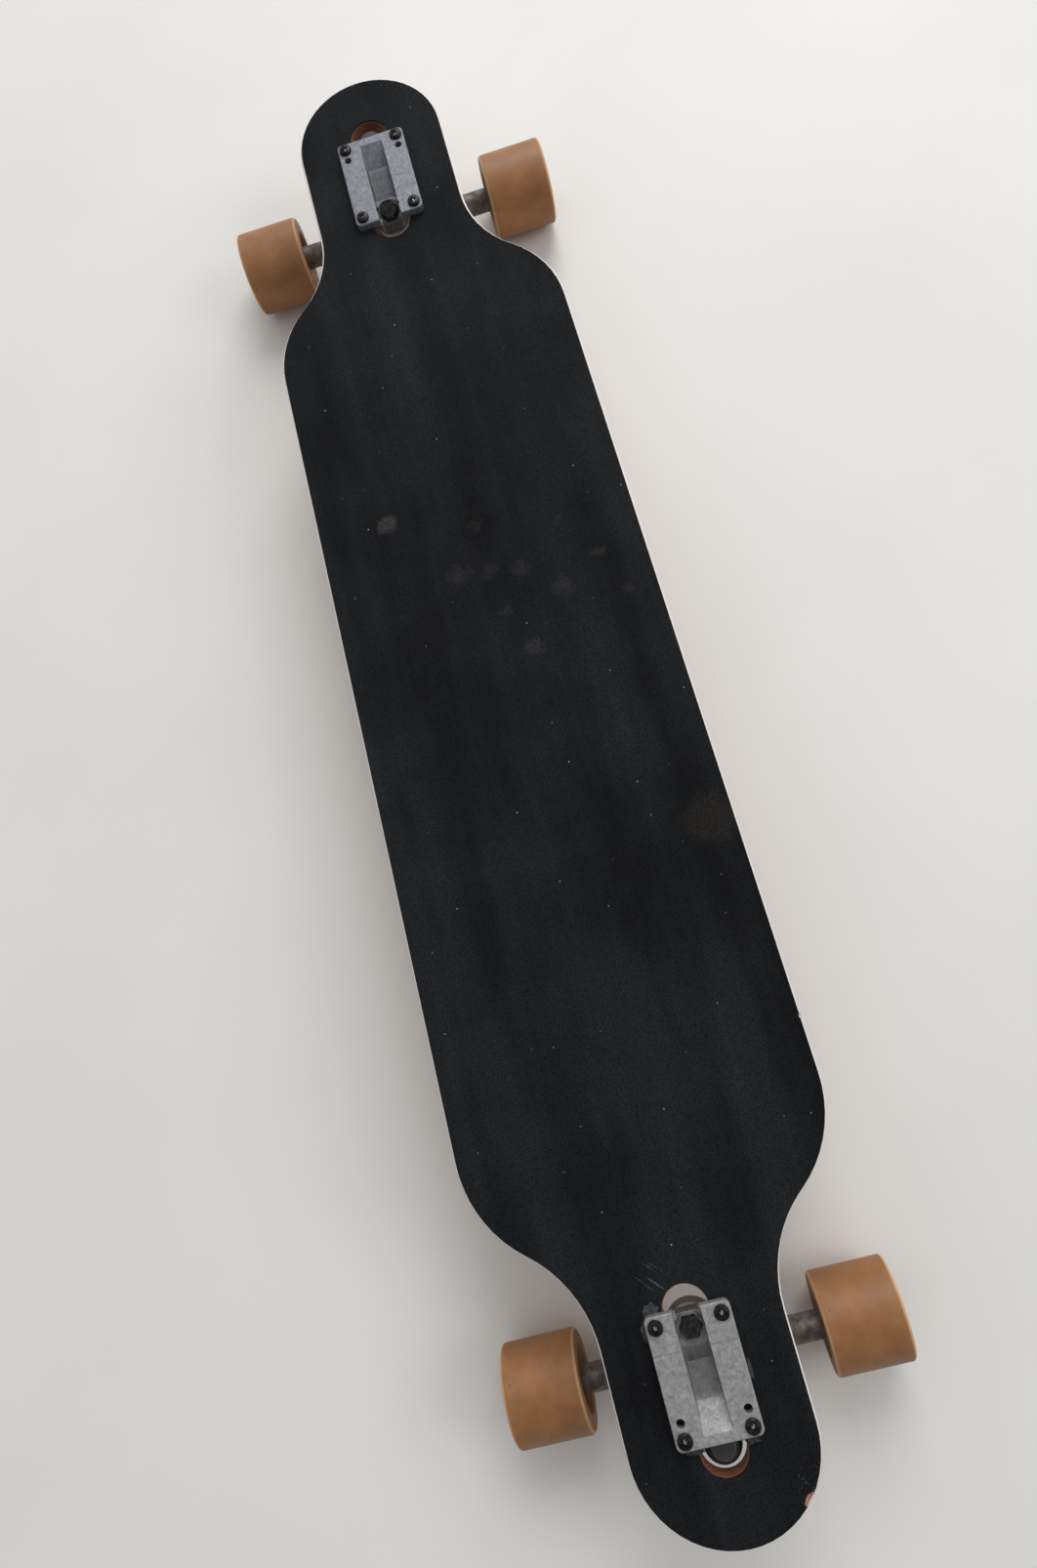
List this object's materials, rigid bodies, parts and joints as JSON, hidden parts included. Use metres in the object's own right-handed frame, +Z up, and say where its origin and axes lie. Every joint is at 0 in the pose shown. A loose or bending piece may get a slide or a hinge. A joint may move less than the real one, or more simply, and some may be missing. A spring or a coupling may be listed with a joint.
{
  "type": "longboard skateboard",
  "caption": "Cutaway drop-through longboard: plywood deck with grip tape, cast trucks that steer on bushings and pivots, and urethane wheels on ball bearings.",
  "frame": {"origin": "on the ground, below the middle of the part's box", "axes": "+X along the board to the wider front end, +Y to the rider's left, +Z up"},
  "size_m": [1.07, 0.262, 0.1028],
  "materials": {
    "maple_ply": "lacquered maple plywood, worn edges",
    "grip": "black abrasive grip tape, scuffed",
    "cast_aluminium": "raw cast, mottled",
    "hanger_aluminium": "cast, weathered dark",
    "axle_steel": "ground steel",
    "zinc_steel": "zinc plated, dulled",
    "bearing_steel": "polished bearing steel",
    "black_steel": "black oxide",
    "bushing_urethane": "black urethane",
    "pivot_urethane": "black urethane",
    "wheel_urethane": "tan cast urethane, road worn"
  },
  "bodies": {
    "board": {"deck": "maple_ply", "grip_tape": "grip", "mounting_bolts": "black_steel", "mounting_nuts": "black_steel", "front_baseplate": "cast_aluminium", "front_pivot_cup": "pivot_urethane", "front_kingpin": "black_steel", "front_boardside_bushing": "bushing_urethane", "front_roadside_bushing": "bushing_urethane", "front_cup_washers": "zinc_steel", "front_kingpin_nut": "zinc_steel", "rear_baseplate": "cast_aluminium", "rear_pivot_cup": "pivot_urethane", "rear_kingpin": "black_steel", "rear_boardside_bushing": "bushing_urethane", "rear_roadside_bushing": "bushing_urethane", "rear_cup_washers": "zinc_steel", "rear_kingpin_nut": "zinc_steel"},
    "front_truck": {"front_hanger": "hanger_aluminium", "front_axle": "axle_steel", "front_left_bearing_inner_races": "bearing_steel", "front_left_bearing_spacer": "zinc_steel", "front_left_speed_washers": "zinc_steel", "front_left_axle_nut": "zinc_steel", "front_right_bearing_inner_races": "bearing_steel", "front_right_bearing_spacer": "zinc_steel", "front_right_speed_washers": "zinc_steel", "front_right_axle_nut": "zinc_steel"},
    "front_left_wheel_body": {"front_left_wheel": "wheel_urethane", "front_left_bearing_outer_races": "bearing_steel", "front_left_bearing_shields": "bearing_steel"},
    "front_left_ball_set": {"front_left_bearing_balls": "bearing_steel", "front_left_bearing_cages": "bearing_steel"},
    "front_right_wheel_body": {"front_right_wheel": "wheel_urethane", "front_right_bearing_outer_races": "bearing_steel", "front_right_bearing_shields": "bearing_steel"},
    "front_right_ball_set": {"front_right_bearing_balls": "bearing_steel", "front_right_bearing_cages": "bearing_steel"},
    "rear_truck": {"rear_hanger": "hanger_aluminium", "rear_axle": "axle_steel", "rear_left_bearing_inner_races": "bearing_steel", "rear_left_bearing_spacer": "zinc_steel", "rear_left_speed_washers": "zinc_steel", "rear_left_axle_nut": "zinc_steel", "rear_right_bearing_inner_races": "bearing_steel", "rear_right_bearing_spacer": "zinc_steel", "rear_right_speed_washers": "zinc_steel", "rear_right_axle_nut": "zinc_steel"},
    "rear_left_wheel_body": {"rear_left_wheel": "wheel_urethane", "rear_left_bearing_outer_races": "bearing_steel", "rear_left_bearing_shields": "bearing_steel"},
    "rear_left_ball_set": {"rear_left_bearing_balls": "bearing_steel", "rear_left_bearing_cages": "bearing_steel"},
    "rear_right_wheel_body": {"rear_right_wheel": "wheel_urethane", "rear_right_bearing_outer_races": "bearing_steel", "rear_right_bearing_shields": "bearing_steel"},
    "rear_right_ball_set": {"rear_right_bearing_balls": "bearing_steel", "rear_right_bearing_cages": "bearing_steel"}
  },
  "joints": [
    {"name": "front_steer", "type": "hinge", "parent": "board", "child": "front_truck", "pos_m": [0.42054, 0, 0.06395], "axis": [0.9563, 0, 0.2924], "range_deg": [-18, 18], "stiffness_Nm_per_rad": 60, "deforming": ["front_boardside_bushing", "front_roadside_bushing"]},
    {"name": "front_left_wheel_spin", "type": "hinge", "parent": "front_truck", "child": "front_left_wheel_body", "pos_m": [0.4475, 0.103, 0.03175], "axis": [0, 1, 0], "continuous": true},
    {"name": "front_left_ball_roll", "type": "hinge", "parent": "front_truck", "child": "front_left_ball_set", "pos_m": [0.4475, 0.103, 0.03175], "axis": [0, 1, 0], "continuous": true},
    {"name": "front_right_wheel_spin", "type": "hinge", "parent": "front_truck", "child": "front_right_wheel_body", "pos_m": [0.4475, -0.103, 0.03175], "axis": [0, 1, 0], "continuous": true},
    {"name": "front_right_ball_roll", "type": "hinge", "parent": "front_truck", "child": "front_right_ball_set", "pos_m": [0.4475, -0.103, 0.03175], "axis": [0, 1, 0], "continuous": true},
    {"name": "rear_steer", "type": "hinge", "parent": "board", "child": "rear_truck", "pos_m": [-0.42054, 0, 0.06395], "axis": [-0.9563, 0, 0.2924], "range_deg": [-18, 18], "stiffness_Nm_per_rad": 60, "deforming": ["rear_boardside_bushing", "rear_roadside_bushing"]},
    {"name": "rear_left_wheel_spin", "type": "hinge", "parent": "rear_truck", "child": "rear_left_wheel_body", "pos_m": [-0.4475, 0.103, 0.03175], "axis": [0, 1, 0], "continuous": true},
    {"name": "rear_left_ball_roll", "type": "hinge", "parent": "rear_truck", "child": "rear_left_ball_set", "pos_m": [-0.4475, 0.103, 0.03175], "axis": [0, 1, 0], "continuous": true},
    {"name": "rear_right_wheel_spin", "type": "hinge", "parent": "rear_truck", "child": "rear_right_wheel_body", "pos_m": [-0.4475, -0.103, 0.03175], "axis": [0, 1, 0], "continuous": true},
    {"name": "rear_right_ball_roll", "type": "hinge", "parent": "rear_truck", "child": "rear_right_ball_set", "pos_m": [-0.4475, -0.103, 0.03175], "axis": [0, 1, 0], "continuous": true}
  ],
  "couplings": [
    {"joint": "front_left_ball_roll", "follows": "front_left_wheel_spin", "ratio": 0.63233},
    {"joint": "front_right_ball_roll", "follows": "front_right_wheel_spin", "ratio": 0.63233},
    {"joint": "rear_left_ball_roll", "follows": "rear_left_wheel_spin", "ratio": 0.63233},
    {"joint": "rear_right_ball_roll", "follows": "rear_right_wheel_spin", "ratio": 0.63233}
  ]
}
